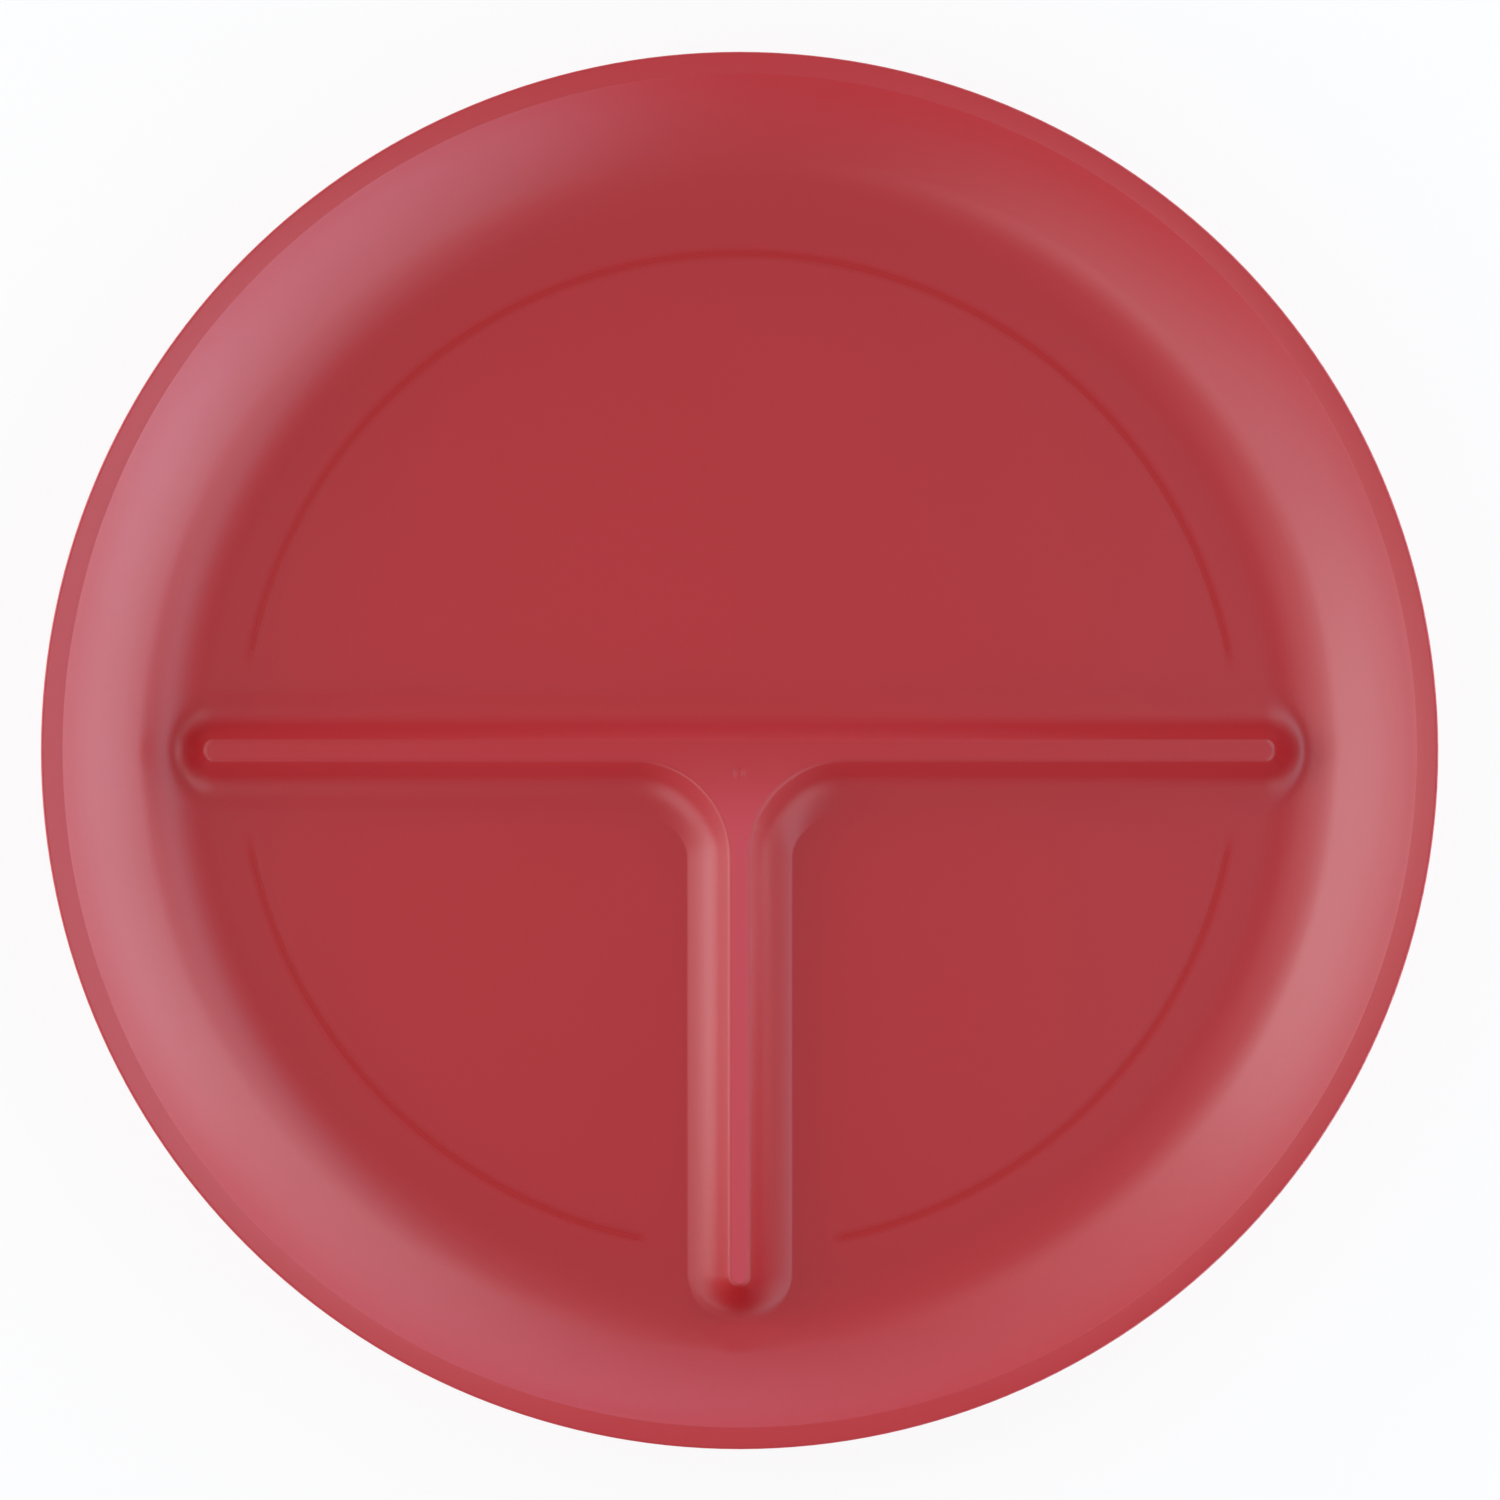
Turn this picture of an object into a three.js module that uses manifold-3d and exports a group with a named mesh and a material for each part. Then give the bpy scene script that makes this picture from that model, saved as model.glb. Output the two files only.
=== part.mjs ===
// A round portion plate in moulded plastic, seen with its large compartment towards +Y.
// A T-shaped ridge parts the dished inside into one large and two small compartments.
// The plate stands on three foot ribs, which leave gaps under the ridge so that rinsing water runs out.
// On the real plate all of this is one moulding. It is drawn here as the parts that a plate has by name:
// the well, the side wall with its rim, the two dividers and the foot ribs. They meet face to face.
//
// Millimetres, +Z up. The origin is the middle of the plate on the table.

import * as THREE from "three";
import { mergeVertices } from "three/addons/utils/BufferGeometryUtils.js";
import Module from "manifold-3d";

const wasm = await Module();
wasm.setup();

// Plate
const PLATE_DIAMETER = 230;
const PLATE_HEIGHT = 22;
const BORDER_WIDTH = 26.5;
const SHELL_THICKNESS = 2.8;
const WALL_FOOT_RADIUS = 19;
const WALL_FOOT_ANGLE = THREE.MathUtils.degToRad(40);
const WELL_EDGE_ANGLE = THREE.MathUtils.degToRad(27);

// Ridge that parts the compartments
const RIDGE_HEIGHT = 5.3;
const RIDGE_TOP_WIDTH = 1;
const RIDGE_TOP_EDGE_RADIUS = 2.6;
const RIDGE_FLANK_ANGLE = THREE.MathUtils.degToRad(46);
const RIDGE_ROOT_RADIUS = 15.2;
const RIDGE_ROOT_ANGLE = THREE.MathUtils.degToRad(21);
const RIDGE_CORNER_RADIUS = 9;
const RIDGE_CORE_TIP_WIDTH = 0.8;
const RIDGE_END_TO_BORDER = 1.2;

// Foot
const FOOT_INSET = 5.6;
const FOOT_HEIGHT = 1.8;
const FOOT_ROOT_WIDTH = 2.4;
const FOOT_TIP_WIDTH = 1.6;
const FOOT_GAP_AT_BAR = 30.4;
const FOOT_GAP_AT_STEM = 31.6;

// How far a cutting tool runs past what it cuts
const CUT_MARGIN = 1;

// Facets
const AROUND = 96;
const WELL_EDGE_STEPS = 3;
const WALL_FOOT_STEPS = 2;
const WALL_STEPS = 3;
const RIM_STEPS = 3;
const OUTLINE_STEPS = 6;
const ROOT_STEPS = 4;
const TOP_EDGE_STEPS = 3;
const FOOT_STEPS_PER_TURN = 72;
const FOOT_END_STEPS = 6;

// Heights and radii that the pieces share
const plateRadius = PLATE_DIAMETER / 2;
const flatRadius = plateRadius - BORDER_WIDTH;
const halfShell = SHELL_THICKNESS / 2;
const floorUnderside = FOOT_HEIGHT;
const floorTop = floorUnderside + SHELL_THICKNESS;
const floorMiddle = floorUnderside + halfShell;

// The middle of the wall leaves the floor in a foot arc. A long arc leads on to the centre of the round rim.
// The well ends on the foot arc, past the ridge's ends.
const rimCentre = new THREE.Vector2(plateRadius - halfShell, PLATE_HEIGHT - halfShell);
const wallFoot = {
  centre: new THREE.Vector2(flatRadius, floorMiddle + WALL_FOOT_RADIUS),
  radius: WALL_FOOT_RADIUS,
};
const wallStart = arcPoint(wallFoot, wallFoot.radius, WALL_FOOT_ANGLE);
const wallChord = rimCentre.clone().sub(wallStart);
const wallEndAngle = 2 * wallChord.angle() - WALL_FOOT_ANGLE;
const wallRadius = wallChord.length() / (2 * Math.sin((wallEndAngle - WALL_FOOT_ANGLE) / 2));
const wall = {
  centre: wallStart.clone().sub(slopeVector(WALL_FOOT_ANGLE).multiplyScalar(wallRadius)),
  radius: wallRadius,
};

// Section of the ridge, in distance to the side of its middle line and height above the floor. A hollow
// root arc starts at a fine crease on the floor, and a straight flank leads on to a round top edge.
const flankSin = Math.sin(RIDGE_FLANK_ANGLE);
const flankCos = Math.cos(RIDGE_FLANK_ANGLE);
const topEdgeRise = RIDGE_TOP_EDGE_RADIUS * (1 - flankCos);
const rootRisePerRadius = Math.cos(RIDGE_ROOT_ANGLE) - flankCos;
const rootRadius = Math.min(RIDGE_ROOT_RADIUS, (RIDGE_HEIGHT - topEdgeRise) / rootRisePerRadius);
const flankRise = RIDGE_HEIGHT - topEdgeRise - rootRadius * rootRisePerRadius;
const flankRun = (flankRise * flankCos) / flankSin;
const topEdgeRun = RIDGE_TOP_EDGE_RADIUS * flankSin;
const rootRun = rootRadius * (flankSin - Math.sin(RIDGE_ROOT_ANGLE));
const ridgeHalfTop = RIDGE_TOP_WIDTH / 2;
const ridgeHalfBase = ridgeHalfTop + topEdgeRun + flankRun + rootRun;
const cornerFromMiddle = ridgeHalfBase + RIDGE_CORNER_RADIUS;

// The ridge's ends land on the edge of the well.
const ridgeEnd = flatRadius - RIDGE_END_TO_BORDER;

// The foot ribs stand under the flat floor.
const footRadius = flatRadius - FOOT_INSET;

// Sides of the shell, seen from the middle of the plate
const INSIDE = -1;
const OUTSIDE = 1;

const plastic = new THREE.MeshStandardMaterial({ color: 0xad3c44, roughness: 0.5, metalness: 0 });

// Points from one end of a range to the other, both included
function steps(from, to, count, point) {
  return Array.from({ length: count + 1 }, (_, i) => point(from + ((to - from) * i) / count));
}

// Down and outwards from an arc's centre to where the arc has a slope
function slopeVector(slope) {
  return new THREE.Vector2(Math.sin(slope), -Math.cos(slope));
}

function arcPoint(arc, radius, slope) {
  return slopeVector(slope).multiplyScalar(radius).add(arc.centre);
}

// The outside or the inside of the shell along an arc of its middle
function shellArc(arc, side, fromSlope, toSlope, count) {
  return steps(fromSlope, toSlope, count, (s) => arcPoint(arc, arc.radius + side * halfShell, s));
}

// Height of the inside of the plate without its ridge, up to the end of the wall's foot
function insideHeight(distance) {
  const radius = wallFoot.radius - halfShell;
  const past = THREE.MathUtils.clamp(distance - flatRadius, 0, radius * Math.sin(WALL_FOOT_ANGLE));
  return wallFoot.centre.y - Math.sqrt(radius ** 2 - past ** 2);
}

function solidFrom(geometry) {
  const bare = geometry.clone();
  bare.deleteAttribute("normal");
  bare.deleteAttribute("uv");
  const merged = mergeVertices(bare);
  const vertProperties = merged.attributes.position.array;
  const triVerts = new Uint32Array(merged.index.array);
  return new wasm.Manifold(new wasm.Mesh({ numProp: 3, vertProperties, triVerts }));
}

function geometryFrom(solid) {
  const { vertProperties, triVerts } = solid.getMesh();
  const geometry = new THREE.BufferGeometry();
  geometry.setAttribute("position", new THREE.BufferAttribute(vertProperties, 3));
  geometry.setIndex(new THREE.BufferAttribute(triVerts, 1));
  geometry.computeVertexNormals();
  return geometry;
}

// A profile of radius and height turned about +Z
function revolve(profile) {
  return new THREE.LatheGeometry(profile, AROUND).rotateX(Math.PI / 2);
}

// A closed skin through rings of points, from the lowest ring to the highest
function loft(rings) {
  const count = rings[0].length;
  const endFaces = (ring) =>
    THREE.ShapeUtils.triangulateShape(ring.map((p) => new THREE.Vector2(p.x, p.y)), []);
  const last = (rings.length - 1) * count;
  const index = [];
  for (const [a, b, c] of endFaces(rings[0])) {
    index.push(a, c, b);
  }
  for (const [a, b, c] of endFaces(rings.at(-1))) {
    index.push(last + a, last + b, last + c);
  }
  for (let ring = 0; ring < last; ring += count) {
    for (let i = 0; i < count; i++) {
      const a = ring + i;
      const b = ring + ((i + 1) % count);
      index.push(a, b, b + count);
      index.push(a, b + count, a + count);
    }
  }
  const geometry = new THREE.BufferGeometry().setFromPoints(rings.flat());
  geometry.setIndex(index);
  return geometry;
}

// Floor with the start of the wall's foot, as a disc
function wellDisc() {
  const outside = shellArc(wallFoot, OUTSIDE, 0, WELL_EDGE_ANGLE, WELL_EDGE_STEPS);
  const inside = shellArc(wallFoot, INSIDE, WELL_EDGE_ANGLE, 0, WELL_EDGE_STEPS);
  const below = new THREE.Vector2(0, floorUnderside);
  const above = new THREE.Vector2(0, floorTop);
  return revolve([below, ...outside, ...inside, above]);
}

// Wall from the well's edge up to the full round rim
function sideWall() {
  const outside = [
    ...shellArc(wallFoot, OUTSIDE, WELL_EDGE_ANGLE, WALL_FOOT_ANGLE, WALL_FOOT_STEPS),
    ...shellArc(wall, OUTSIDE, WALL_FOOT_ANGLE, wallEndAngle, WALL_STEPS).slice(1),
  ];
  const inside = [
    ...shellArc(wall, INSIDE, wallEndAngle, WALL_FOOT_ANGLE, WALL_STEPS),
    ...shellArc(wallFoot, INSIDE, WALL_FOOT_ANGLE, WELL_EDGE_ANGLE, WALL_FOOT_STEPS).slice(1),
  ];
  const outermost = 0;
  const topmost = Math.PI / 2;
  const onRim = (angle) =>
    new THREE.Vector2(Math.cos(angle), Math.sin(angle)).multiplyScalar(halfShell).add(rimCentre);
  const round = [
    ...steps(wallEndAngle - Math.PI / 2, outermost, RIM_STEPS, onRim).slice(1, -1),
    ...steps(outermost, topmost, RIM_STEPS, onRim).slice(0, -1),
    ...steps(topmost, wallEndAngle + Math.PI / 2, RIM_STEPS, onRim).slice(0, -1),
  ];
  return revolve([...outside, ...round, ...inside, outside[0]]);
}

// Plan of the ridge at a distance to each side of its middle line: a bar with a stem, round at the ends
// and hollowed out in the corners where they meet
function ridgeOutline(halfWidth) {
  const hollow = cornerFromMiddle - halfWidth;
  const path = new THREE.Path();
  path.absarc(ridgeEnd, 0, halfWidth, -Math.PI / 2, Math.PI / 2);
  path.absarc(-ridgeEnd, 0, halfWidth, Math.PI / 2, (3 * Math.PI) / 2);
  path.absarc(-cornerFromMiddle, -cornerFromMiddle, hollow, Math.PI / 2, 0, true);
  path.absarc(0, -ridgeEnd, halfWidth, Math.PI, 2 * Math.PI);
  path.absarc(cornerFromMiddle, -cornerFromMiddle, hollow, Math.PI, Math.PI / 2, true);
  return path.getPoints(OUTLINE_STEPS);
}

// One level of the ridge, which follows the inside of the plate below it
function ridgeRing({ halfWidth, height }) {
  return ridgeOutline(halfWidth).map(
    (p) => new THREE.Vector3(p.x, p.y, insideHeight(p.length()) + height),
  );
}

// An even end of the ridge or its core, out of sight below
function ridgeEndRing(halfWidth, height) {
  return ridgeOutline(halfWidth).map((p) => new THREE.Vector3(p.x, p.y, height));
}

function rootPoint(slope) {
  return {
    slope,
    halfWidth: ridgeHalfBase - rootRadius * (Math.sin(slope) - Math.sin(RIDGE_ROOT_ANGLE)),
    height: rootRadius * (Math.cos(RIDGE_ROOT_ANGLE) - Math.cos(slope)),
  };
}

function topEdgePoint(slope) {
  return {
    halfWidth: ridgeHalfTop + RIDGE_TOP_EDGE_RADIUS * Math.sin(slope),
    height: RIDGE_HEIGHT - RIDGE_TOP_EDGE_RADIUS * (1 - Math.cos(slope)),
  };
}

const rootSection = steps(RIDGE_ROOT_ANGLE, RIDGE_FLANK_ANGLE, ROOT_STEPS, rootPoint);
const topSection = steps(RIDGE_FLANK_ANGLE, 0, TOP_EDGE_STEPS, topEdgePoint);

// The ridge as a full block whose skirt reaches into the floor
function ridgeBlock() {
  const skirt = ridgeEndRing(ridgeHalfBase, floorTop - CUT_MARGIN);
  return loft([skirt, ...[...rootSection, ...topSection].map(ridgeRing)]);
}

// The core that hollows the ridge from below and leaves a shell of even thickness
function ridgeCore() {
  const offset = rootSection.map(({ slope, halfWidth, height }) => ({
    halfWidth: halfWidth - SHELL_THICKNESS * Math.sin(slope),
    height: height - SHELL_THICKNESS * Math.cos(slope),
  }));
  const mouth = ridgeEndRing(offset[0].halfWidth, floorUnderside - CUT_MARGIN);
  const shoulder = offset.at(-1);
  const tipHalfWidth = Math.min(RIDGE_CORE_TIP_WIDTH, shoulder.halfWidth) / 2;
  const tipRise = ((shoulder.halfWidth - tipHalfWidth) * flankSin) / flankCos;
  const tip = { halfWidth: tipHalfWidth, height: shoulder.height + tipRise };
  return loft([mouth, ...[...offset, tip].map(ridgeRing)]);
}

// All space on one side of the line where the stem butts against the bar
function halfSpace(side) {
  const box = new THREE.BoxGeometry(PLATE_DIAMETER, PLATE_DIAMETER, PLATE_DIAMETER);
  return box.translate(0, -ridgeHalfBase + (side * PLATE_DIAMETER) / 2, 0);
}

// Plan of a foot rib between two angles, with round ends
function footOutline(from, to, halfWidth) {
  const arcSteps = Math.max(2, Math.round((FOOT_STEPS_PER_TURN * (to - from)) / (2 * Math.PI)));
  const at = (distance) => (angle) =>
    new THREE.Vector2(Math.cos(angle), Math.sin(angle)).multiplyScalar(distance);
  const end = (angle, turn) =>
    steps(turn, turn + Math.PI, FOOT_END_STEPS, (a) => at(halfWidth)(a).add(at(footRadius)(angle)));
  const outer = steps(from, to, arcSteps, at(footRadius + halfWidth));
  const inner = steps(to, from, arcSteps, at(footRadius - halfWidth));
  const farEnd = end(to, to);
  const nearEnd = end(from, from + Math.PI);
  return [...outer, ...farEnd.slice(1, -1), ...inner, ...nearEnd.slice(1, -1)];
}

function footRib(from, to) {
  const level = (width, height) =>
    footOutline(from, to, width / 2).map((p) => new THREE.Vector3(p.x, p.y, height));
  return loft([level(FOOT_TIP_WIDTH, 0), level(FOOT_ROOT_WIDTH, FOOT_HEIGHT)]);
}

const plate = new THREE.Group();
plate.name = "portion_plate";

function addPiece(name, geometry) {
  const mesh = new THREE.Mesh(geometry, plastic.clone());
  mesh.name = name;
  plate.add(mesh);
}

const disc = solidFrom(wellDisc());
const rimmedWall = sideWall();
const core = solidFrom(ridgeCore());
const ridge = solidFrom(ridgeBlock()).subtract(disc).subtract(solidFrom(rimmedWall)).subtract(core);
const barSide = 1;
const stemSide = -1;

addPiece("well", geometryFrom(disc.subtract(core)));
addPiece("side_wall", rimmedWall);
addPiece("long_divider", geometryFrom(ridge.intersect(solidFrom(halfSpace(barSide)))));
addPiece("short_divider", geometryFrom(ridge.intersect(solidFrom(halfSpace(stemSide)))));

// The ribs' ends keep their distance from the middle lines of the bar and the stem.
const barGapAngle = Math.asin(FOOT_GAP_AT_BAR / 2 / footRadius);
const stemGapAngle = Math.asin(FOOT_GAP_AT_STEM / 2 / footRadius);
const stemAngle = (3 * Math.PI) / 2;
addPiece("foot_rib_back", footRib(barGapAngle, Math.PI - barGapAngle));
addPiece("foot_rib_left", footRib(Math.PI + barGapAngle, stemAngle - stemGapAngle));
addPiece("foot_rib_right", footRib(stemAngle + stemGapAngle, 2 * Math.PI - barGapAngle));

export default plate;
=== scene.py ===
"""A red portion plate in matte moulded plastic, dressed around its solids and lit like a product photo.

Metres, +Z up, in the frame of the solids: the origin is the middle of the plate on the table.
"""

import math

import bmesh
import bpy
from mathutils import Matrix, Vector
from mathutils.geometry import delaunay_2d_cdt


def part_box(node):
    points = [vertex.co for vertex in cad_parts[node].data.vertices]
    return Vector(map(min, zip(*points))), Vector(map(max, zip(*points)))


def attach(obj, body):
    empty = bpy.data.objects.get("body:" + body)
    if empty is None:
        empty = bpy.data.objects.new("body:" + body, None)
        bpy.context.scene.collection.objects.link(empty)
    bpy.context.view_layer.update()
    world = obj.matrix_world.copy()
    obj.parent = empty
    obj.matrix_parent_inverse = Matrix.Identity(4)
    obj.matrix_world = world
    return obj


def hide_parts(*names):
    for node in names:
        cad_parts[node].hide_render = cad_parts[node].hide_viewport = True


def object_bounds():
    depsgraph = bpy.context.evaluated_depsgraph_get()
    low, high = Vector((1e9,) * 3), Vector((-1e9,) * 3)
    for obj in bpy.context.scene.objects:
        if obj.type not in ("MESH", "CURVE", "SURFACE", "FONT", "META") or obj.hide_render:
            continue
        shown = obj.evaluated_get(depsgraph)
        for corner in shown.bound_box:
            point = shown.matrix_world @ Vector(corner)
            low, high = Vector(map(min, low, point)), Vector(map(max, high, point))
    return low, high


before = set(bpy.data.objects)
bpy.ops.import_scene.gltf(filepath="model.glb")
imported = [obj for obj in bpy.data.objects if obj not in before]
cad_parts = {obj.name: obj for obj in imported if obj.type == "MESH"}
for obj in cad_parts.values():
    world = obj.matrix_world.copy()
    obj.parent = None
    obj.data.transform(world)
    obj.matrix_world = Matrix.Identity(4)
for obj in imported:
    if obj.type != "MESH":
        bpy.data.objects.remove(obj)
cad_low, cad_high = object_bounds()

MM = 0.001
QUARTER_TURN = math.pi / 2
HALF_TURN = math.pi
FULL_TURN = 2 * math.pi

# Sizes that the solids give
bar_low, bar_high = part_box("long_divider")
stem_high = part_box("short_divider")[1]
back_rib_low, back_rib_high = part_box("foot_rib_back")
right_rib_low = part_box("foot_rib_right")[0]
plate_radius = cad_high.x
plate_height = cad_high.z
floor_top = bar_low.z
floor_underside = back_rib_high.z
shell = floor_top - floor_underside
ridge_height = bar_high.z - floor_top
ridge_half_base = bar_high.y
ridge_end = bar_high.x - ridge_half_base
corner_from_middle = stem_high.x

# Sizes that a box doesn't give, as in the solids
BORDER_WIDTH = 26.5 * MM
WALL_FOOT_RADIUS = 19 * MM
WALL_FOOT_ANGLE = math.radians(40)
RIDGE_FLANK_ANGLE = math.radians(46)
RIDGE_ROOT_ANGLE = math.radians(21)
FOOT_ROOT_WIDTH = 2.4 * MM
FOOT_TIP_WIDTH = 1.6 * MM

# Ridge: its top, and its foot, which is crisp along the stem and soft along the bar
RIDGE_TOP_WIDTH = 2.2 * MM
RIDGE_TOP_EDGE_RADIUS = 1.2 * MM
CREASE_RADIUS = 1.2 * MM
SOFT_HALF_BASE = 10.2 * MM
SOFT_ROOT_ANGLE = math.radians(3)
SOFT_CREASE_RADIUS = 4 * MM
SOFT_UNTIL_Y = -9 * MM
CRISP_FROM_Y = -18 * MM
NOSE_BLEND_POWER = 2
CORE_TIP_RADIUS = 0.4 * MM

# Rim and foot ribs
RIM_LIP_WIDTH = 3.5 * MM
RIM_CORNER_RADIUS = 0.3 * MM
RIM_EDGE_SHARE = 0.15
FOOT_FILLET_RADIUS = 0.6 * MM
FOOT_EDGE_RADIUS = 0.35 * MM

# Marks of the moulding: sink lines over the foot ribs and the gate's ring; and painted light, which makes
# the top of the stem paler
SINK_DEPTH = 0.04 * MM
SINK_HALF_WIDTH = 1.3 * MM
SINK_FADE = 2.5 * MM
GATE_FROM_MIDDLE = 3.8 * MM
GATE_RING_RADIUS = 0.7 * MM
GATE_RING_WIDTH = 0.22 * MM
GATE_RING_DEPTH = 0.1 * MM
# Painted light: the stem's top is painted paler, fading in from the junction along the stem
PAINTED_LIGHT_FROM_Y = 1 * MM
PAINTED_LIGHT_FULL_Y = -16 * MM
PAINTED_LIGHT_MARGIN = 0.24 * MM

# Plastic
RED = (0.525, 0.0150, 0.0190, 1)
DEEPER_RED = (0.505, 0.0135, 0.0170, 1)
# Painted shade: the darker, deeper red painted in the sink lines
SINK_PAINTED_SHADE_RED = (0.510, 0.0080, 0.0070, 1)
# Painted light: the paler red painted on the stem's top
PAINTED_LIGHT_RED = (0.630, 0.0410, 0.0620, 1)
CLOUD_SHARE = 0.8
# How much of the painted shade the sink lines take
SINK_SHADE_SHARE = 0.8
PLASTIC_IOR = 1.49
PLASTIC_ROUGHNESS = 0.36
CLOUD_ROUGHNESS = 0.06
SINK_GLOSS = 0.15
# Extra roughness where the stem's top has painted light
PAINTED_LIGHT_ROUGHNESS = 0.15
CLOUD_SCALE = 22.0
GRAIN_SCALE = 2600.0
GRAIN_STRENGTH = 0.12
GRAIN_DEPTH = 0.05 * MM

# Stage
FLOOR_HALF = 2.0
FLOOR_PAPER = (0.95, 0.95, 0.93, 1)
FLOOR_GLOW_SHARE = 0.87
BACKDROP = (0.8, 0.8, 0.8, 1)
ROOM = (0.97, 0.90, 1.0, 1)
ROOM_STRENGTH = 0.31

# Panels of soft light: name, azimuth, lowest and highest elevation and width in degrees, brightness, colour
STUDIO_RADIUS = 0.6
WHITE = (1.0, 1.0, 1.0)
NEUTRAL = (0.92, 0.92, 1.0)
COOL = (0.57, 0.82, 1.0)
SKY = (0.48, 0.74, 1.0)
PANELS = (
    ("right_low", 0, 4, 9, 70, 14.0, COOL),
    ("right_upper", 15, 8, 14, 80, 3.4, NEUTRAL),
    ("right_high", 0, 44, 66, 60, 1.7, COOL),
    ("back_right_low", 75, 3, 9, 60, 6.0, SKY),
    ("back_left_low", 125, 3, 9, 40, 3.2, COOL),
    ("front_right_low", 310, 3, 8, 50, 11.0, SKY),
    ("front_low", 270, 3, 12, 50, 0.5, COOL),
    ("left_low", 180, 3, 14, 75, 3.5, COOL),
    ("left_main", 170, 8, 26, 50, 3.2, WHITE),
    ("left_strip", 180, 26, 70, 12, 2.0, NEUTRAL),
    ("fill_back_right", 45, 12, 40, 42, 1.7, NEUTRAL),
    ("fill_back_left", 135, 12, 40, 42, 1.1, NEUTRAL),
    ("fill_front_left", 225, 12, 40, 42, 1.6, NEUTRAL),
    ("fill_front_right", 315, 12, 40, 42, 1.3, NEUTRAL),
)

# Camera in millimetres, and the photograph in pixels
CAMERA_LENS = 200
CAMERA_SENSOR = 36
PHOTO_SIZE = 1500
PLATE_CENTRE_PX = (739.6, 750.5)
PLATE_RADIUS_PX = 698.2

# Mesh density, and the room that loose points leave round a ridge or rib
AROUND = 240
NOSE_STEPS = 24
CORNER_STEPS = 18
CREASE_STEPS = 5
ROOT_STEPS = 12
TOP_EDGE_STEPS = 10
CORE_TIP_STEPS = 5
WALL_FOOT_STEPS = 6
WALL_INSIDE_STEPS = 20
WALL_OUTSIDE_STEPS = 14
RIM_BEND_STEPS = 6
RIM_CORNER_STEPS = 10
FOOT_FILLET_STEPS = 5
FOOT_EDGE_STEPS = 4
FOOT_END_STEPS = 8
FLOOR_RINGS = 7
FLOOR_EDGE_STEPS = 16
UNDER_EDGE_STEPS = 10
SINK_STEPS = 5
GATE_STEPS = 24
GATE_RING_SHARES = (0, 0.4, 0.7, 0.85, 1, 1.15, 1.3, 1.8)
STRAIGHT_STEP = 4 * MM
FOOT_STEP = 2 * MM
FLOOR_RING_STEP = 10 * MM
EDGE_RING_LEAD = 1 * MM
CLEARANCE = 0.5 * MM
FILL_TOLERANCE = 1e-6
WELD = 1e-7

# Radii and heights that follow
flat_radius = plate_radius - BORDER_WIDTH
half_shell = shell / 2
rim_r = plate_radius - half_shell
rim_z = plate_height - half_shell
wall_foot_z = floor_underside + half_shell + WALL_FOOT_RADIUS
wall_start_r = flat_radius + WALL_FOOT_RADIUS * math.sin(WALL_FOOT_ANGLE)
wall_start_z = wall_foot_z - WALL_FOOT_RADIUS * math.cos(WALL_FOOT_ANGLE)
wall_chord = math.hypot(rim_r - wall_start_r, rim_z - wall_start_z)
wall_chord_angle = math.atan2(rim_z - wall_start_z, rim_r - wall_start_r)
wall_end_angle = 2 * wall_chord_angle - WALL_FOOT_ANGLE
wall_radius = wall_chord / (2 * math.sin(wall_chord_angle - WALL_FOOT_ANGLE))
wall_centre_r = wall_start_r - wall_radius * math.sin(WALL_FOOT_ANGLE)
wall_centre_z = wall_start_z + wall_radius * math.cos(WALL_FOOT_ANGLE)
inside_radius = WALL_FOOT_RADIUS - half_shell
outside_radius = WALL_FOOT_RADIUS + half_shell

# Where the three foot ribs run, as angles around the plate
foot_radius = back_rib_high.y - FOOT_ROOT_WIDTH / 2
bar_gap = back_rib_low.y + FOOT_ROOT_WIDTH / 2
stem_gap = right_rib_low.x + FOOT_ROOT_WIDTH / 2
bar_gap_angle = math.asin(bar_gap / foot_radius)
stem_gap_angle = math.asin(stem_gap / foot_radius)
STEM_ANGLE = 3 * QUARTER_TURN
FOOT_RIBS = (
    (bar_gap_angle, HALF_TURN - bar_gap_angle),
    (HALF_TURN + bar_gap_angle, STEM_ANGLE - stem_gap_angle),
    (STEM_ANGLE + stem_gap_angle, FULL_TURN - bar_gap_angle),
)


def spread(start, end, count):
    """Values from start to end, both included."""
    return [start + (end - start) * i / count for i in range(count + 1)]


def smooth(edge0, edge1, x):
    """0 below edge0, 1 above edge1, and a soft step between them."""
    t = min(1.0, max(0.0, (x - edge0) / (edge1 - edge0)))
    return t * t * (3 - 2 * t)


def arc(cx, cy, radius, start, end, count):
    """Points along an arc between two angles."""
    return [(cx + radius * math.cos(a), cy + radius * math.sin(a)) for a in spread(start, end, count)]


def straight(start, end):
    """Points between two corners, without the corners."""
    count = max(2, round(math.dist(start, end) / STRAIGHT_STEP))
    return list(zip(spread(start[0], end[0], count), spread(start[1], end[1], count)))[1:-1]


def circle(r, z):
    """Points around the plate at one height."""
    return [(x, y, z) for x, y in arc(0, 0, r, 0, FULL_TURN, AROUND)[:-1]]


def dish_height(radius, r):
    """Height of the floor and the wall's foot at a distance from the middle, inside or outside."""
    past = max(0.0, r - flat_radius)
    return wall_foot_z - math.sqrt(radius**2 - past**2)


# The ridge in plan and in section


def ridge_distance(x, y):
    """Distance to the side of the ridge's middle line, with the hollowed corners of the T."""
    x = abs(x)
    if x < corner_from_middle and -corner_from_middle < y < 0:
        return corner_from_middle - math.hypot(corner_from_middle - x, corner_from_middle + y)
    to_bar = math.hypot(max(0.0, x - ridge_end), y)
    to_stem = math.hypot(x, max(0.0, -y - ridge_end)) if y < 0 else math.hypot(x, y)
    return min(to_bar, to_stem)


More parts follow.
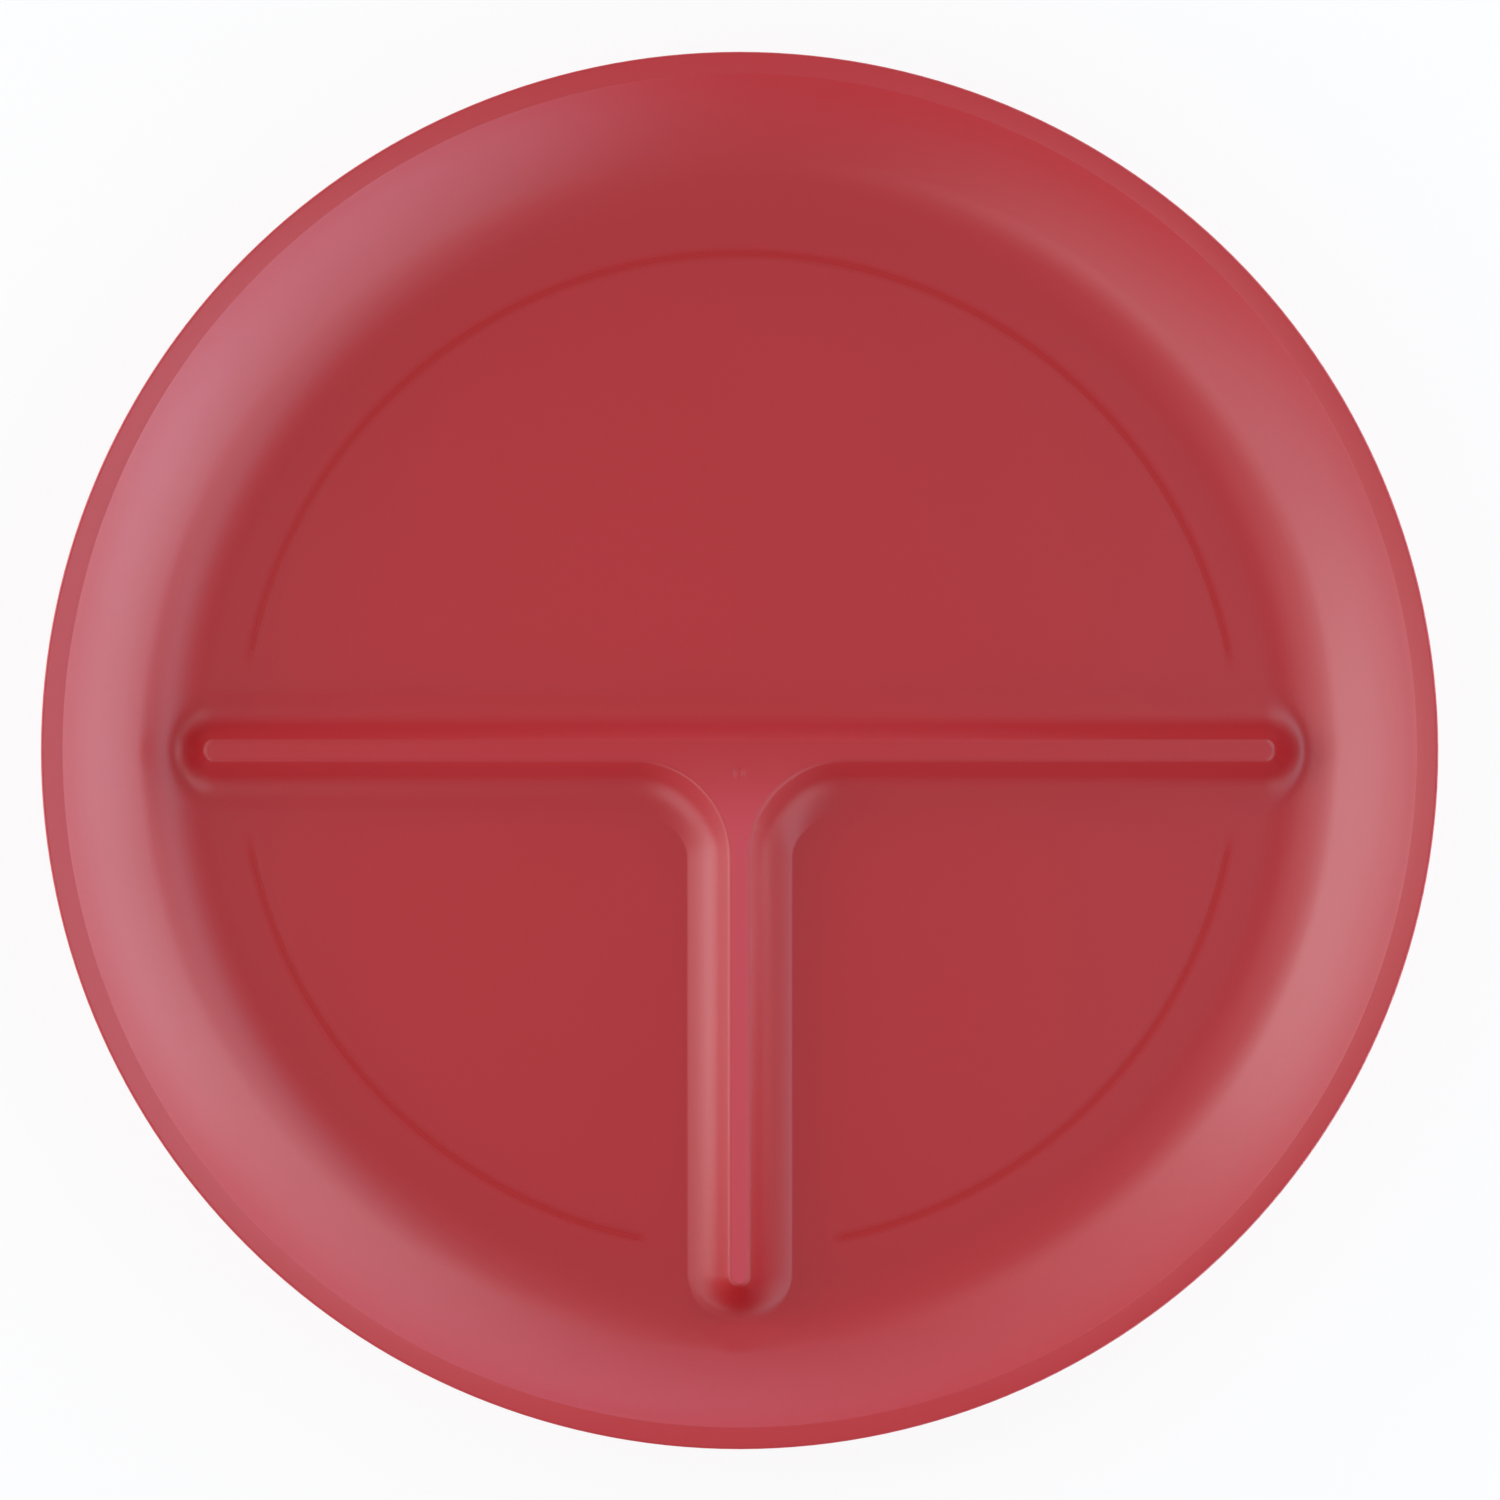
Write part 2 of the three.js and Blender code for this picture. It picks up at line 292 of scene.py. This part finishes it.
def ridge_outline(distance):
    """Closed outline of the ridge at a distance from its middle line."""
    c = corner_from_middle
    hollow = c - distance
    runs = [
        arc(ridge_end, 0, distance, -QUARTER_TURN, QUARTER_TURN, NOSE_STEPS),
        arc(-ridge_end, 0, distance, QUARTER_TURN, 3 * QUARTER_TURN, NOSE_STEPS),
        arc(-c, -c, hollow, QUARTER_TURN, 0, CORNER_STEPS),
        arc(0, -ridge_end, distance, HALF_TURN, FULL_TURN, NOSE_STEPS),
        arc(c, -c, hollow, HALF_TURN, QUARTER_TURN, CORNER_STEPS),
    ]
    points = []
    for run, following in zip(runs, runs[1:] + runs[:1]):
        points += run + straight(run[-1], following[0])
    return points


def in_outline(x, y, outline):
    """Whether a point lies inside a closed outline."""
    inside = False
    for (x0, y0), (x1, y1) in zip(outline, outline[1:] + outline[:1]):
        if (y0 > y) != (y1 > y) and x < x0 + (x1 - x0) * (y - y0) / (y1 - y0):
            inside = not inside
    return inside


def ridge_section(half_base, root_angle, crease_radius):
    """(distance, height, slope) from the floor up crease, hollow root and flank to the flat top."""
    flank_sin, flank_cos = math.sin(RIDGE_FLANK_ANGLE), math.cos(RIDGE_FLANK_ANGLE)
    root_sin, root_cos = math.sin(root_angle), math.cos(root_angle)
    half_top = RIDGE_TOP_WIDTH / 2
    run = half_base - half_top - RIDGE_TOP_EDGE_RADIUS * flank_sin
    rise = ridge_height - RIDGE_TOP_EDGE_RADIUS * (1 - flank_cos)
    run_over_rise = flank_cos / flank_sin
    root_radius = (run - rise * run_over_rise) / (
        flank_sin - root_sin - (root_cos - flank_cos) * run_over_rise
    )
    root_x = half_base + root_radius * root_sin
    root_z = root_radius * root_cos
    between = root_radius - crease_radius
    inward = math.sqrt(between**2 - (root_z - crease_radius) ** 2)
    crease_x = root_x - inward
    crease_slope = math.asin(inward / between)
    section = []
    for s in spread(0, crease_slope, CREASE_STEPS):
        section.append((crease_x - crease_radius * math.sin(s), crease_radius * (1 - math.cos(s)), s))
    for s in spread(crease_slope, RIDGE_FLANK_ANGLE, ROOT_STEPS)[1:]:
        section.append((root_x - root_radius * math.sin(s), root_z - root_radius * math.cos(s), s))
    for s in spread(RIDGE_FLANK_ANGLE, 0, TOP_EDGE_STEPS):
        edge_fall = RIDGE_TOP_EDGE_RADIUS * (1 - math.cos(s))
        section.append((half_top + RIDGE_TOP_EDGE_RADIUS * math.sin(s), ridge_height - edge_fall, s))
    return section


def core_section(section):
    """(distance, height) of the hollow below: the ridge's section offset by the shell, with a round tip."""
    climb = [row for i, row in enumerate(section) if i == 0 or row[0] < section[i - 1][0]]
    steepest = max(range(len(climb)), key=lambda i: climb[i][2])
    core = [
        (d - shell * math.sin(s), h - shell * math.cos(s)) for d, h, s in climb[: steepest + 1]
    ]
    slope = climb[steepest][2]
    tip_z = ridge_height - shell
    join_z = tip_z - CORE_TIP_RADIUS * (1 - math.cos(slope))
    last_d, last_h = core[-1]
    join_d = last_d - (join_z - last_h) / math.tan(slope)
    centre_d = join_d - CORE_TIP_RADIUS * math.sin(slope)
    for s in spread(slope, 0, CORE_TIP_STEPS):
        tip_fall = CORE_TIP_RADIUS * (1 - math.cos(s))
        core.append((centre_d + CORE_TIP_RADIUS * math.sin(s), tip_z - tip_fall))
    return core


# The rim and the foot ribs


def shell_arc(centre_r, centre_z, radius, start, end, count):
    """Points along an arc of the shell between two slopes."""
    return [
        (centre_r + radius * math.sin(s), centre_z - radius * math.cos(s))
        for s in spread(start, end, count)
    ]


def rim_cap(lip_angle):
    """(r, z) over the rim: a lip that leans inward less than the wall, and an upright edge."""
    bend_radius = wall_radius - half_shell + RIM_CORNER_RADIUS
    bend_r = wall_centre_r + bend_radius * math.sin(lip_angle)
    bend_z = wall_centre_z - bend_radius * math.cos(lip_angle)
    corner_r = plate_radius - RIM_CORNER_RADIUS
    corner_z = plate_height - RIM_CORNER_RADIUS
    lip_slope = math.atan2(corner_z - bend_z, corner_r - bend_r)
    lip_up = lip_slope + QUARTER_TURN
    edge_r = rim_r + half_shell * math.sin(wall_end_angle)
    edge_z = rim_z - half_shell * math.cos(wall_end_angle)
    above_edge = (
        edge_r + RIM_EDGE_SHARE * (plate_radius - edge_r),
        edge_z + RIM_EDGE_SHARE * (corner_z - edge_z),
    )
    return (
        arc(bend_r, bend_z, RIM_CORNER_RADIUS, lip_angle + QUARTER_TURN, lip_up, RIM_BEND_STEPS)[1:]
        + arc(corner_r, corner_z, RIM_CORNER_RADIUS, lip_up, 0, RIM_CORNER_STEPS)
        + [above_edge]
    )


def rim_section(join_slope):
    """(r, z) from the foot of the wall, up its inside, over the rim and down its outside."""
    foot = (flat_radius, wall_foot_z)
    wall = (wall_centre_r, wall_centre_z)
    wall_inside, wall_outside = wall_radius - half_shell, wall_radius + half_shell
    lip_angle = math.asin((plate_radius - RIM_LIP_WIDTH - wall_centre_r) / wall_inside)
    return (
        shell_arc(*foot, inside_radius, join_slope, WALL_FOOT_ANGLE, WALL_FOOT_STEPS)
        + shell_arc(*wall, wall_inside, WALL_FOOT_ANGLE, lip_angle, WALL_INSIDE_STEPS)[1:]
        + rim_cap(lip_angle)
        + shell_arc(*wall, wall_outside, wall_end_angle, WALL_FOOT_ANGLE, WALL_OUTSIDE_STEPS)
        + shell_arc(*foot, outside_radius, WALL_FOOT_ANGLE, join_slope, WALL_FOOT_STEPS)[1:]
    )


def foot_section():
    """(half width, z) of a foot rib, from its fillet on the floor's underside to its flat tip."""
    root, tip = FOOT_ROOT_WIDTH / 2, FOOT_TIP_WIDTH / 2
    fillet, edge = FOOT_FILLET_RADIUS, FOOT_EDGE_RADIUS
    section = []
    for a in spread(0, QUARTER_TURN, FOOT_FILLET_STEPS):
        section.append((root + fillet * (1 - math.sin(a)), floor_underside - fillet * (1 - math.cos(a))))
    for a in spread(0, QUARTER_TURN, FOOT_EDGE_STEPS):
        section.append((tip - edge * (1 - math.cos(a)), edge * (1 - math.sin(a))))
    return section


def foot_outline(span, half_width):
    """Closed outline of a foot rib with round ends."""
    start, end = span
    count = round((end - start) * foot_radius / FOOT_STEP)
    far = (foot_radius * math.cos(end), foot_radius * math.sin(end))
    near = (foot_radius * math.cos(start), foot_radius * math.sin(start))
    return (
        arc(0, 0, foot_radius + half_width, start, end, count)
        + arc(*far, half_width, end, end + HALF_TURN, FOOT_END_STEPS)[1:-1]
        + arc(0, 0, foot_radius - half_width, end, start, count)
        + arc(*near, half_width, start + HALF_TURN, start + FULL_TURN, FOOT_END_STEPS)[1:-1]
    )


def in_foot(x, y, half_width):
    """Whether a point lies inside one of the foot ribs' outlines."""
    angle = math.atan2(y, x) % FULL_TURN
    r = math.hypot(x, y)
    for start, end in FOOT_RIBS:
        if start <= angle <= end and abs(r - foot_radius) < half_width:
            return True
        for a in (start, end):
            if math.hypot(x - foot_radius * math.cos(a), y - foot_radius * math.sin(a)) < half_width:
                return True
    return False


# Marks of the moulding, and the painted light on the stem's top


def sink_amount(x, y):
    """How strongly the shallow sink line over a foot rib shows at a point on the floor, from 0 to 1."""
    off = abs(math.hypot(x, y) - foot_radius) / SINK_HALF_WIDTH
    if off >= 1:
        return 0.0
    angle = math.atan2(y, x) % FULL_TURN
    half_fade = SINK_FADE / foot_radius / 2
    along = max(
        smooth(start - half_fade, start + half_fade, angle)
        * (1 - smooth(end - half_fade, end + half_fade, angle))
        for start, end in FOOT_RIBS
    )
    return along * (1 - off**2) ** 2


def painted_light_amount(x, y):
    """How much painted light pales the ridge's top at a point, from 0 on the bar to 1 along the stem."""
    on_top = ridge_distance(x, y) < RIDGE_TOP_WIDTH / 2 + PAINTED_LIGHT_MARGIN
    return 1 - smooth(PAINTED_LIGHT_FULL_Y, PAINTED_LIGHT_FROM_Y, y) if on_top else 0.0


def mark(mesh, name, amount):
    """A point attribute that holds an amount for each point on the upper side, and 0 below."""
    upper = floor_top - half_shell
    values = [amount(v.co.x, v.co.y) if v.co.z > upper else 0.0 for v in mesh.vertices]
    mesh.attributes.new(name, "FLOAT", "POINT").data.foreach_set("value", values)


# The mesh


class Skin:
    """Vertices and faces of one closed skin, welded at the end."""

    def __init__(self):
        self.points = []
        self.faces = []

    def ring(self, points):
        """Add points, and give their indices."""
        first = len(self.points)
        self.points += points
        return list(range(first, len(self.points)))

    def loft(self, rings):
        """Faces between each closed ring and the next."""
        for a, b in zip(rings, rings[1:]):
            for i in range(len(a)):
                j = (i + 1) % len(a)
                self.faces.append((a[i], a[j], b[j], b[i]))

    def fill(self, loops, extra, keep):
        """Triangles between closed loops of points, through some extra points, where keep says so."""
        indices = [i for loop in loops for i in loop] + list(extra)
        place = {index: k for k, index in enumerate(indices)}
        flat = [Vector(self.points[i][:2]) / MM for i in indices]
        edges = [(place[a], place[b]) for loop in loops for a, b in zip(loop, loop[1:] + loop[:1])]
        spots, _, faces, origins, _, _ = delaunay_2d_cdt(flat, edges, [], 0, FILL_TOLERANCE)
        corner = [indices[origin[0]] for origin in origins]
        for face in faces:
            middle = sum((spots[k] for k in face), Vector((0, 0))) / len(face) * MM
            if keep(middle.x, middle.y):
                self.faces.append(tuple(corner[k] for k in face))

    def object(self, name):
        """The skin as a smooth-shaded object in the scene."""
        mesh = bpy.data.meshes.new(name)
        bm = bmesh.new()
        verts = [bm.verts.new(p) for p in self.points]
        for face in self.faces:
            bm.faces.new([verts[i] for i in face])
        bmesh.ops.remove_doubles(bm, verts=bm.verts, dist=WELD)
        bmesh.ops.recalc_face_normals(bm, faces=bm.faces)
        bm.to_mesh(mesh)
        bm.free()
        mesh.shade_smooth()
        made = bpy.data.objects.new(name, mesh)
        bpy.context.scene.collection.objects.link(made)
        return made


def ridge_ring(crisp, soft):
    """A ring of the ridge: crisp along the stem, soft along the bar, with ends that die into the wall."""
    points = []
    for near, far in zip(ridge_outline(crisp[0]), ridge_outline(soft[0])):
        share = smooth(CRISP_FROM_Y, SOFT_UNTIL_Y, near[1])
        x = near[0] + (far[0] - near[0]) * share
        y = near[1] + (far[1] - near[1]) * share
        height = crisp[1] + (soft[1] - crisp[1]) * share
        rise = dish_height(inside_radius, math.hypot(x, y)) - floor_top
        blended = (rise**NOSE_BLEND_POWER + height**NOSE_BLEND_POWER) ** (1 / NOSE_BLEND_POWER)
        points.append((x, y, floor_top + blended))
    return points


def core_ring(distance, height):
    """A ring of the hollow below the ridge, which follows the underside up the wall's foot."""
    return [
        (x, y, dish_height(outside_radius, math.hypot(x, y)) + shell + height)
        for x, y in ridge_outline(distance)
    ]


def gate_points():
    """Points on the ridge's top with the ring that the gate leaves, where the stem meets the bar."""
    points = []
    for share in GATE_RING_SHARES:
        r = GATE_RING_RADIUS * share
        off = (r - GATE_RING_RADIUS) / GATE_RING_WIDTH
        z = floor_top + ridge_height - GATE_RING_DEPTH * math.exp(-(off**2))
        spots = [(0, -GATE_FROM_MIDDLE)]
        if r:
            spots = arc(0, -GATE_FROM_MIDDLE, r, 0, FULL_TURN, GATE_STEPS)[:-1]
        points += [(x, y, z) for x, y in spots]
    return points


def inner_radii():
    """Radii of the rings of points on the flat of the floor, inside the foot ribs."""
    return [FLOOR_RING_STEP * k for k in range(1, FLOOR_RINGS + 1)]


def floor_points(edge_r, ridge_reach):
    """Points on the floor clear of the ridge, dense at the sink lines and where the wall's foot starts."""
    sink_rings = range(-SINK_STEPS - 1, SINK_STEPS + 2)
    radii = inner_radii()
    radii += [foot_radius + SINK_HALF_WIDTH * k / SINK_STEPS for k in sink_rings]
    radii += spread(flat_radius - EDGE_RING_LEAD, edge_r, FLOOR_EDGE_STEPS)[:-1]
    points = []
    for r in radii:
        level = dish_height(inside_radius, r)
        for x, y, z in circle(r, level):
            if ridge_distance(x, y) > ridge_reach + CLEARANCE:
                points.append((x, y, z - SINK_DEPTH * sink_amount(x, y)))
    return points


def under_points(edge_r, core_reach, foot_reach):
    """Points on the underside, clear of the hollow ridge and the foot ribs."""
    radii = inner_radii() + spread(flat_radius - EDGE_RING_LEAD, edge_r, UNDER_EDGE_STEPS)[:-1]
    points = []
    for r in radii:
        for x, y, z in circle(r, dish_height(outside_radius, r)):
            if ridge_distance(x, y) > core_reach + CLEARANCE and not in_foot(x, y, foot_reach + CLEARANCE):
                points.append((x, y, z))
    return points


def plate_object():
    """The whole moulding as one closed skin."""
    skin = Skin()
    section = ridge_section(ridge_half_base, RIDGE_ROOT_ANGLE, CREASE_RADIUS)
    soft_section = ridge_section(SOFT_HALF_BASE, SOFT_ROOT_ANGLE, SOFT_CREASE_RADIUS)
    core = core_section(section)
    foot = foot_section()
    ridge_reach, half_top = soft_section[0][0], section[-1][0]
    core_reach, core_tip = core[0][0], core[-1][0]
    foot_reach, foot_tip = foot[0][0], foot[-1][0]

    # Wall and rim, between the floor's edge above and the underside's edge below
    join_slope = math.asin((ridge_end + ridge_reach + 2 * CLEARANCE - flat_radius) / inside_radius)
    floor_edge_r = flat_radius + inside_radius * math.sin(join_slope)
    under_edge_r = flat_radius + outside_radius * math.sin(join_slope)
    rim = [skin.ring(circle(r, z)) for r, z in rim_section(join_slope)]
    skin.loft(rim)

    # Ridge, and its flat top with the gate's ring
    ridge = [skin.ring(ridge_ring(crisp, soft)) for crisp, soft in zip(section, soft_section)]
    skin.loft(ridge)
    skin.fill([ridge[-1]], skin.ring(gate_points()), lambda x, y: ridge_distance(x, y) < half_top)

    # Floor with the sink lines
    ridge_foot = [skin.points[i][:2] for i in ridge[0]]
    skin.fill(
        [rim[0], ridge[0]],
        skin.ring(floor_points(floor_edge_r, ridge_reach)),
        lambda x, y: ridge_distance(x, y) > ridge_reach + CLEARANCE or not in_outline(x, y, ridge_foot),
    )

    # Hollow below the ridge
    hollow = [skin.ring(core_ring(distance, height)) for distance, height in core]
    skin.loft(hollow)
    skin.fill([hollow[-1]], [], lambda x, y: ridge_distance(x, y) < core_tip)

    # Foot ribs
    mouths = [hollow[0]]
    for span in FOOT_RIBS:
        rings = [skin.ring([(x, y, z) for x, y in foot_outline(span, half)]) for half, z in foot]
        skin.loft(rings)
        skin.fill([rings[-1]], [], lambda x, y: in_foot(x, y, foot_tip))
        mouths.append(rings[0])

    # Underside
    skin.fill(
        [rim[-1], *mouths],
        skin.ring(under_points(under_edge_r, core_reach, foot_reach)),
        lambda x, y: ridge_distance(x, y) > core_reach and not in_foot(x, y, foot_reach),
    )

    made = skin.object("plate_moulding")
    # The sink lines, where the material paints shade and adds gloss
    mark(made.data, "sink_line", sink_amount)
    # Painted light on the stem's top, kept as a point attribute
    mark(made.data, "painted_light_top", painted_light_amount)
    return made


# Materials


class Nodes:
    """The node tree of a material or the world, with short calls to add and join nodes."""

    def __init__(self, owner):
        owner.use_nodes = True
        self.tree = owner.node_tree
        self.tree.nodes.clear()

    def put(self, socket, value):
        """Join another node's output to a socket, or set a plain value on it."""
        if isinstance(value, bpy.types.NodeSocket):
            self.tree.links.new(value, socket)
        else:
            socket.default_value = value

    def add(self, kind, settings=None, **inputs):
        node = self.tree.nodes.new(kind)
        for key, value in (settings or {}).items():
            setattr(node, key, value)
        for key, value in inputs.items():
            self.put(node.inputs[key.replace("_", " ")], value)
        return node

    def math(self, operation, a, b):
        node = self.add("ShaderNodeMath", {"operation": operation})
        self.put(node.inputs[0], a)
        self.put(node.inputs[1], b)
        return node.outputs[0]

    def mix_colours(self, factor, a, b):
        node = self.add("ShaderNodeMix", {"data_type": "RGBA"})
        for index, value in ((0, factor), (6, a), (7, b)):
            self.put(node.inputs[index], value)
        return node.outputs[2]

    def mix_shaders(self, factor, a, b):
        node = self.add("ShaderNodeMixShader")
        for socket, value in zip(node.inputs, (factor, a, b)):
            self.put(socket, value)
        return node.outputs[0]


def plastic_material():
    """Red plastic with a fine grain; glossier in the sink lines, with painted shade there in a deeper red;
    and painted light, a paler red, on the stem's top.
    """
    material = bpy.data.materials.new("red_plastic")
    nodes = Nodes(material)
    place = nodes.add("ShaderNodeTexCoord").outputs["Object"]
    cloud = nodes.add("ShaderNodeTexNoise", Vector=place, Scale=CLOUD_SCALE, Detail=3.0, Roughness=0.55)
    grain = nodes.add("ShaderNodeTexNoise", Vector=place, Scale=GRAIN_SCALE, Detail=2.0, Roughness=0.6)
    clouds = cloud.outputs[0]
    sink = nodes.add("ShaderNodeAttribute", {"attribute_name": "sink_line"}).outputs["Fac"]
    pale = nodes.add("ShaderNodeAttribute", {"attribute_name": "painted_light_top"}).outputs["Fac"]

    clouded = nodes.mix_colours(nodes.math("MULTIPLY", clouds, CLOUD_SHARE), RED, DEEPER_RED)
    # Painted shade: the sink lines darkened to a deeper red
    sink_shaded = nodes.mix_colours(nodes.math("MULTIPLY", sink, SINK_SHADE_SHARE), clouded, SINK_PAINTED_SHADE_RED)
    # Painted light: the stem's top is painted a paler red
    colour = nodes.mix_colours(pale, sink_shaded, PAINTED_LIGHT_RED)
    satin = nodes.math("ADD", nodes.math("MULTIPLY", clouds, CLOUD_ROUGHNESS), PLASTIC_ROUGHNESS)
    glossed = nodes.math("SUBTRACT", satin, nodes.math("MULTIPLY", sink, SINK_GLOSS))
    # The stem's top, where light is painted, is also rougher
    roughness = nodes.math("ADD", glossed, nodes.math("MULTIPLY", pale, PAINTED_LIGHT_ROUGHNESS))
    bump = nodes.add(
        "ShaderNodeBump", Height=grain.outputs[0], Strength=GRAIN_STRENGTH, Distance=GRAIN_DEPTH
    )
    plastic = nodes.add(
        "ShaderNodeBsdfPrincipled",
        Base_Color=colour,
        Roughness=roughness,
        IOR=PLASTIC_IOR,
        Specular_IOR_Level=1.0,
        Normal=bump.outputs[0],
    )
    nodes.add("ShaderNodeOutputMaterial", Surface=plastic.outputs[0])
    return material


def floor_material():
    """Pale paper that the camera and reflections see nearly white, with the plate's shadow kept."""
    material = bpy.data.materials.new("pale_floor")
    nodes = Nodes(material)
    path = nodes.add("ShaderNodeLightPath")
    paper = nodes.add("ShaderNodeBsdfDiffuse", Color=FLOOR_PAPER)
    glow = nodes.add("ShaderNodeEmission", Color=(*WHITE, 1), Strength=1.0)
    seen = nodes.math("MAXIMUM", path.outputs["Is Camera Ray"], path.outputs["Is Glossy Ray"])
    seen = nodes.math("MAXIMUM", seen, path.outputs["Is Transmission Ray"])
    share = nodes.math("MULTIPLY", seen, FLOOR_GLOW_SHARE)
    surface = nodes.mix_shaders(share, paper.outputs[0], glow.outputs[0])
    nodes.add("ShaderNodeOutputMaterial", Surface=surface)
    return material


# Stage, light and camera


def make_floor():
    """A pale floor under the plate, far wider than the picture."""
    half = FLOOR_HALF
    mesh = bpy.data.meshes.new("floor")
    mesh.from_pydata(
        [(-half, -half, 0), (half, -half, 0), (half, half, 0), (-half, half, 0)], [], [(0, 1, 2, 3)]
    )
    floor = bpy.data.objects.new("floor", mesh)
    bpy.context.scene.collection.objects.link(floor)
    mesh.materials.append(floor_material())


def make_panel(name, azimuth, low, high, width, brightness, colour):
    """A panel of soft light that faces the plate, with its angles in degrees as the plate sees them."""
    turn = math.radians(azimuth)
    lift = math.radians((low + high) / 2)
    place = STUDIO_RADIUS * Vector(
        (math.cos(lift) * math.cos(turn), math.cos(lift) * math.sin(turn), math.sin(lift))
    )
    data = bpy.data.lights.new(name, "AREA")
    data.shape = "RECTANGLE"
    data.size = 2 * STUDIO_RADIUS * math.tan(math.radians(width / 2))
    data.size_y = 2 * STUDIO_RADIUS * math.tan(math.radians((high - low) / 2))
    data.energy = brightness * math.pi * data.size * data.size_y
    data.color = colour
    lamp = bpy.data.objects.new(name, data)
    lamp.location = place
    lamp.rotation_mode = "QUATERNION"
    lamp.rotation_quaternion = (-place).to_track_quat("-Z", "Y")
    lamp.visible_camera = False
    bpy.context.scene.collection.objects.link(lamp)


def make_world():
    """A dim room as the plate sees it, and a plain pale backdrop as the camera sees it."""
    world = bpy.data.worlds.new("studio")
    nodes = Nodes(world)
    path = nodes.add("ShaderNodeLightPath")
    room = nodes.add("ShaderNodeBackground", Color=ROOM, Strength=ROOM_STRENGTH)
    backdrop = nodes.add("ShaderNodeBackground", Color=BACKDROP, Strength=1.0)
    surface = nodes.mix_shaders(path.outputs["Is Camera Ray"], room.outputs[0], backdrop.outputs[0])
    nodes.add("ShaderNodeOutputWorld", Surface=surface)
    bpy.context.scene.world = world


def make_camera():
    """Straight above the plate, framed as in the photograph."""
    data = bpy.data.cameras.new("camera")
    data.lens = CAMERA_LENS
    data.sensor_width = CAMERA_SENSOR
    frame_width = plate_radius * PHOTO_SIZE / PLATE_RADIUS_PX
    data.shift_x = (PHOTO_SIZE / 2 - PLATE_CENTRE_PX[0]) / PHOTO_SIZE
    data.shift_y = (PLATE_CENTRE_PX[1] - PHOTO_SIZE / 2) / PHOTO_SIZE
    camera = bpy.data.objects.new("camera", data)
    camera.location = (0, 0, rim_z + frame_width * data.lens / data.sensor_width)
    bpy.context.scene.collection.objects.link(camera)
    bpy.context.scene.camera = camera


plate = plate_object()
plate.data.materials.append(plastic_material())
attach(plate, "root")
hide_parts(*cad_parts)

make_floor()
make_world()
for panel in PANELS:
    make_panel(*panel)
make_camera()
bpy.context.scene.view_settings.view_transform = "Standard"
